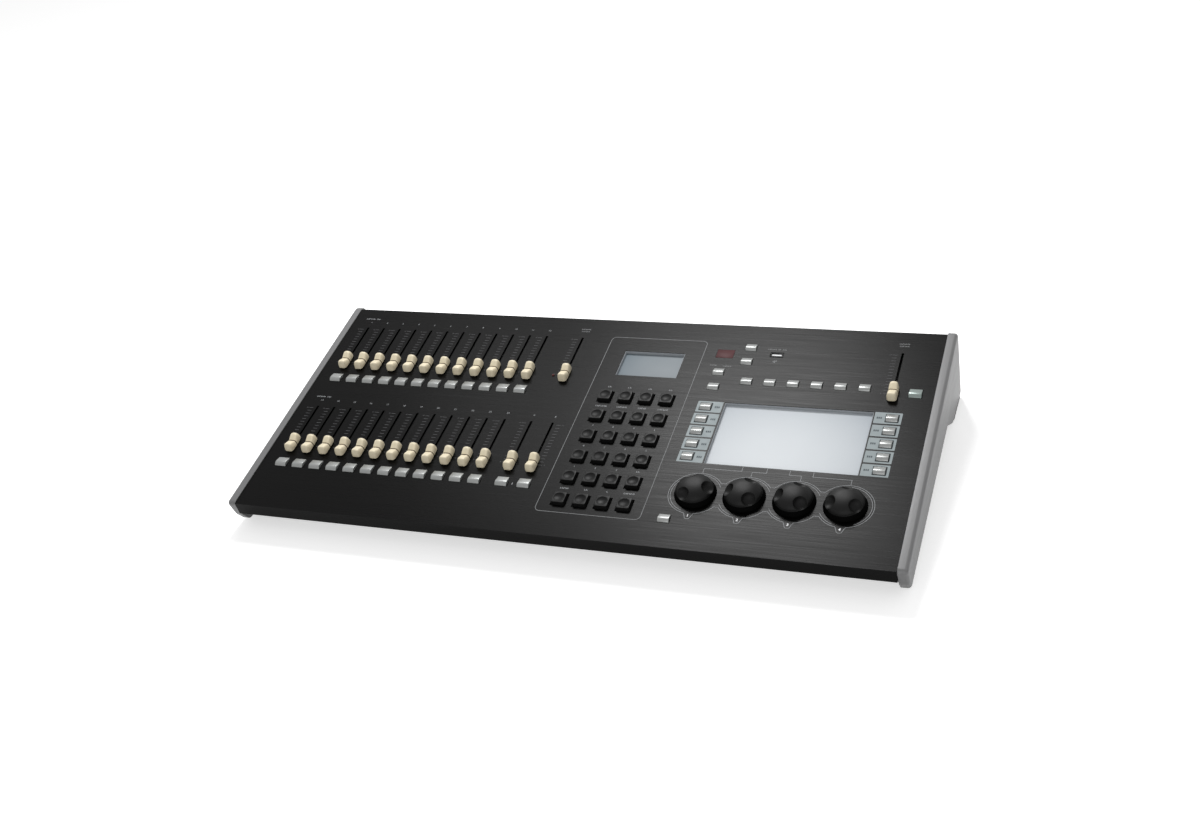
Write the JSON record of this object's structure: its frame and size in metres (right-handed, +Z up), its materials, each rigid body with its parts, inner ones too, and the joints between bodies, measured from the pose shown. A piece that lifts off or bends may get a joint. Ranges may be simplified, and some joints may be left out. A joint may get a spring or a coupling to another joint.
{
  "type": "lighting control console",
  "caption": "Sloping desktop lighting console with slide faders, bump buttons, a keypad, a touchscreen with soft keys, encoder knobs and rear sockets.",
  "frame": {"origin": "middle of the footprint, on the table", "axes": "+X to the right of the person using it, +Y from the front edge to the rear, +Z up"},
  "size_m": [0.727, 0.347, 0.0899],
  "materials": {
    "black_panel": "black anodised, brushed across",
    "black_steel": "satin powder coat",
    "grey_metal": "satin light grey paint",
    "cream_plastic": "satin moulded",
    "silver_plastic": "satin moulded, silver grey",
    "black_plastic": "satin gloss moulded",
    "knob_plastic": "satin gloss moulded",
    "dark_plastic": "moulded",
    "green_board": "solder mask",
    "screen_glass": "pale screen film, unlit",
    "display_glass": "blue grey display window, unlit",
    "rubber": "matt"
  },
  "bodies": {
    "case": {"top_panel": "black_panel", "base_pan": "black_steel", "rear_panel": "black_steel", "left_cheek": "grey_metal", "right_cheek": "grey_metal", "upper_fader_board": "green_board", "lower_fader_board": "green_board", "keypad_board": "green_board", "control_board": "green_board", "touchscreen": "screen_glass", "text_display": "display_glass", "main_board": "green_board", "rear_sockets": "dark_plastic", "power_supply": "dark_plastic", "rear_left_foot": "rubber", "rear_right_foot": "rubber", "front_left_foot": "rubber", "front_right_foot": "rubber"},
    "fader_01": {"fader_01": "cream_plastic"},
    "fader_02": {"fader_02": "cream_plastic"},
    "fader_03": {"fader_03": "cream_plastic"},
    "fader_04": {"fader_04": "cream_plastic"},
    "fader_05": {"fader_05": "cream_plastic"},
    "fader_06": {"fader_06": "cream_plastic"},
    "fader_07": {"fader_07": "cream_plastic"},
    "fader_08": {"fader_08": "cream_plastic"},
    "fader_09": {"fader_09": "cream_plastic"},
    "fader_10": {"fader_10": "cream_plastic"},
    "fader_11": {"fader_11": "cream_plastic"},
    "fader_12": {"fader_12": "cream_plastic"},
    "fader_13": {"fader_13": "cream_plastic"},
    "fader_14": {"fader_14": "cream_plastic"},
    "fader_15": {"fader_15": "cream_plastic"},
    "fader_16": {"fader_16": "cream_plastic"},
    "fader_17": {"fader_17": "cream_plastic"},
    "fader_18": {"fader_18": "cream_plastic"},
    "fader_19": {"fader_19": "cream_plastic"},
    "fader_20": {"fader_20": "cream_plastic"},
    "fader_21": {"fader_21": "cream_plastic"},
    "fader_22": {"fader_22": "cream_plastic"},
    "fader_23": {"fader_23": "cream_plastic"},
    "fader_24": {"fader_24": "cream_plastic"},
    "fader_master": {"fader_master": "cream_plastic"},
    "fader_a": {"fader_a": "cream_plastic"},
    "fader_b": {"fader_b": "cream_plastic"},
    "fader_right": {"fader_right": "cream_plastic"},
    "knob_1": {"knob_1": "knob_plastic"},
    "knob_2": {"knob_2": "knob_plastic"},
    "knob_3": {"knob_3": "knob_plastic"},
    "knob_4": {"knob_4": "knob_plastic"},
    "upper_bump_buttons": {"upper_bump_buttons": "silver_plastic"},
    "lower_bump_buttons": {"lower_bump_buttons": "silver_plastic"},
    "master_buttons": {"master_buttons": "silver_plastic"},
    "right_button": {"right_button": "silver_plastic"},
    "display_buttons": {"display_buttons": "silver_plastic"},
    "row_buttons": {"row_buttons": "silver_plastic"},
    "left_softkeys": {"left_softkeys": "silver_plastic"},
    "right_softkeys": {"right_softkeys": "silver_plastic"},
    "keypad_keys": {"keypad_keys": "black_plastic"},
    "power_rocker": {"power_rocker": "black_plastic"}
  },
  "joints": [
    {"name": "fader_01_slide", "type": "slide", "parent": "case", "child": "fader_01", "axis": [0, 0.9866, 0.1633], "range_m": [0, 0.06]},
    {"name": "fader_02_slide", "type": "slide", "parent": "case", "child": "fader_02", "axis": [0, 0.9866, 0.1633], "range_m": [0, 0.06]},
    {"name": "fader_03_slide", "type": "slide", "parent": "case", "child": "fader_03", "axis": [0, 0.9866, 0.1633], "range_m": [0, 0.06]},
    {"name": "fader_04_slide", "type": "slide", "parent": "case", "child": "fader_04", "axis": [0, 0.9866, 0.1633], "range_m": [0, 0.06]},
    {"name": "fader_05_slide", "type": "slide", "parent": "case", "child": "fader_05", "axis": [0, 0.9866, 0.1633], "range_m": [0, 0.06]},
    {"name": "fader_06_slide", "type": "slide", "parent": "case", "child": "fader_06", "axis": [0, 0.9866, 0.1633], "range_m": [0, 0.06]},
    {"name": "fader_07_slide", "type": "slide", "parent": "case", "child": "fader_07", "axis": [0, 0.9866, 0.1633], "range_m": [0, 0.06]},
    {"name": "fader_08_slide", "type": "slide", "parent": "case", "child": "fader_08", "axis": [0, 0.9866, 0.1633], "range_m": [0, 0.06]},
    {"name": "fader_09_slide", "type": "slide", "parent": "case", "child": "fader_09", "axis": [0, 0.9866, 0.1633], "range_m": [0, 0.06]},
    {"name": "fader_10_slide", "type": "slide", "parent": "case", "child": "fader_10", "axis": [0, 0.9866, 0.1633], "range_m": [0, 0.06]},
    {"name": "fader_11_slide", "type": "slide", "parent": "case", "child": "fader_11", "axis": [0, 0.9866, 0.1633], "range_m": [0, 0.06]},
    {"name": "fader_12_slide", "type": "slide", "parent": "case", "child": "fader_12", "axis": [0, 0.9866, 0.1633], "range_m": [0, 0.06]},
    {"name": "fader_13_slide", "type": "slide", "parent": "case", "child": "fader_13", "axis": [0, 0.9866, 0.1633], "range_m": [0, 0.06]},
    {"name": "fader_14_slide", "type": "slide", "parent": "case", "child": "fader_14", "axis": [0, 0.9866, 0.1633], "range_m": [0, 0.06]},
    {"name": "fader_15_slide", "type": "slide", "parent": "case", "child": "fader_15", "axis": [0, 0.9866, 0.1633], "range_m": [0, 0.06]},
    {"name": "fader_16_slide", "type": "slide", "parent": "case", "child": "fader_16", "axis": [0, 0.9866, 0.1633], "range_m": [0, 0.06]},
    {"name": "fader_17_slide", "type": "slide", "parent": "case", "child": "fader_17", "axis": [0, 0.9866, 0.1633], "range_m": [0, 0.06]},
    {"name": "fader_18_slide", "type": "slide", "parent": "case", "child": "fader_18", "axis": [0, 0.9866, 0.1633], "range_m": [0, 0.06]},
    {"name": "fader_19_slide", "type": "slide", "parent": "case", "child": "fader_19", "axis": [0, 0.9866, 0.1633], "range_m": [0, 0.06]},
    {"name": "fader_20_slide", "type": "slide", "parent": "case", "child": "fader_20", "axis": [0, 0.9866, 0.1633], "range_m": [0, 0.06]},
    {"name": "fader_21_slide", "type": "slide", "parent": "case", "child": "fader_21", "axis": [0, 0.9866, 0.1633], "range_m": [0, 0.06]},
    {"name": "fader_22_slide", "type": "slide", "parent": "case", "child": "fader_22", "axis": [0, 0.9866, 0.1633], "range_m": [0, 0.06]},
    {"name": "fader_23_slide", "type": "slide", "parent": "case", "child": "fader_23", "axis": [0, 0.9866, 0.1633], "range_m": [0, 0.06]},
    {"name": "fader_24_slide", "type": "slide", "parent": "case", "child": "fader_24", "axis": [0, 0.9866, 0.1633], "range_m": [0, 0.06]},
    {"name": "fader_master_slide", "type": "slide", "parent": "case", "child": "fader_master", "axis": [0, 0.9866, 0.1633], "range_m": [0, 0.06]},
    {"name": "fader_a_slide", "type": "slide", "parent": "case", "child": "fader_a", "axis": [0, 0.9866, 0.1633], "range_m": [0, 0.06]},
    {"name": "fader_b_slide", "type": "slide", "parent": "case", "child": "fader_b", "axis": [0, 0.9866, 0.1633], "range_m": [0, 0.06]},
    {"name": "fader_right_slide", "type": "slide", "parent": "case", "child": "fader_right", "axis": [0, 0.9866, 0.1633], "range_m": [0, 0.06]},
    {"name": "knob_1_turn", "type": "hinge", "parent": "case", "child": "knob_1", "pos_m": [0.14486, -0.10148, 0.05201], "axis": [0, -0.1633, 0.9866], "continuous": true},
    {"name": "knob_2_turn", "type": "hinge", "parent": "case", "child": "knob_2", "pos_m": [0.19435, -0.10148, 0.05201], "axis": [0, -0.1633, 0.9866], "continuous": true},
    {"name": "knob_3_turn", "type": "hinge", "parent": "case", "child": "knob_3", "pos_m": [0.24384, -0.10148, 0.05201], "axis": [0, -0.1633, 0.9866], "continuous": true},
    {"name": "knob_4_turn", "type": "hinge", "parent": "case", "child": "knob_4", "pos_m": [0.29333, -0.10148, 0.05201], "axis": [0, -0.1633, 0.9866], "continuous": true},
    {"name": "upper_bump_buttons_press", "type": "slide", "parent": "case", "child": "upper_bump_buttons", "axis": [0, 0.1633, -0.9866], "range_m": [0, 0.0012], "stiffness_N_per_m": 1500, "springref_m": -0.001},
    {"name": "lower_bump_buttons_press", "type": "slide", "parent": "case", "child": "lower_bump_buttons", "axis": [0, 0.1633, -0.9866], "range_m": [0, 0.0012], "stiffness_N_per_m": 1500, "springref_m": -0.001},
    {"name": "master_buttons_press", "type": "slide", "parent": "case", "child": "master_buttons", "axis": [0, 0.1633, -0.9866], "range_m": [0, 0.0012], "stiffness_N_per_m": 800, "springref_m": -0.001},
    {"name": "right_button_press", "type": "slide", "parent": "case", "child": "right_button", "axis": [0, 0.1633, -0.9866], "range_m": [0, 0.0012], "stiffness_N_per_m": 600, "springref_m": -0.001},
    {"name": "display_buttons_press", "type": "slide", "parent": "case", "child": "display_buttons", "axis": [0, 0.1633, -0.9866], "range_m": [0, 0.0012], "stiffness_N_per_m": 900, "springref_m": -0.001},
    {"name": "row_buttons_press", "type": "slide", "parent": "case", "child": "row_buttons", "axis": [0, 0.1633, -0.9866], "range_m": [0, 0.0012], "stiffness_N_per_m": 1200, "springref_m": -0.001},
    {"name": "left_softkeys_press", "type": "slide", "parent": "case", "child": "left_softkeys", "axis": [0, 0.1633, -0.9866], "range_m": [0, 0.0012], "stiffness_N_per_m": 1200, "springref_m": -0.001},
    {"name": "right_softkeys_press", "type": "slide", "parent": "case", "child": "right_softkeys", "axis": [0, 0.1633, -0.9866], "range_m": [0, 0.0012], "stiffness_N_per_m": 1100, "springref_m": -0.001},
    {"name": "keypad_keys_press", "type": "slide", "parent": "case", "child": "keypad_keys", "axis": [0, 0.1633, -0.9866], "range_m": [0, 0.0012], "stiffness_N_per_m": 2500, "springref_m": -0.001},
    {"name": "power_rocker_tip", "type": "hinge", "parent": "case", "child": "power_rocker", "pos_m": [0.30649, 0.15258, 0.0596], "axis": [1, 0, 0], "range_deg": [-16, 0]}
  ]
}
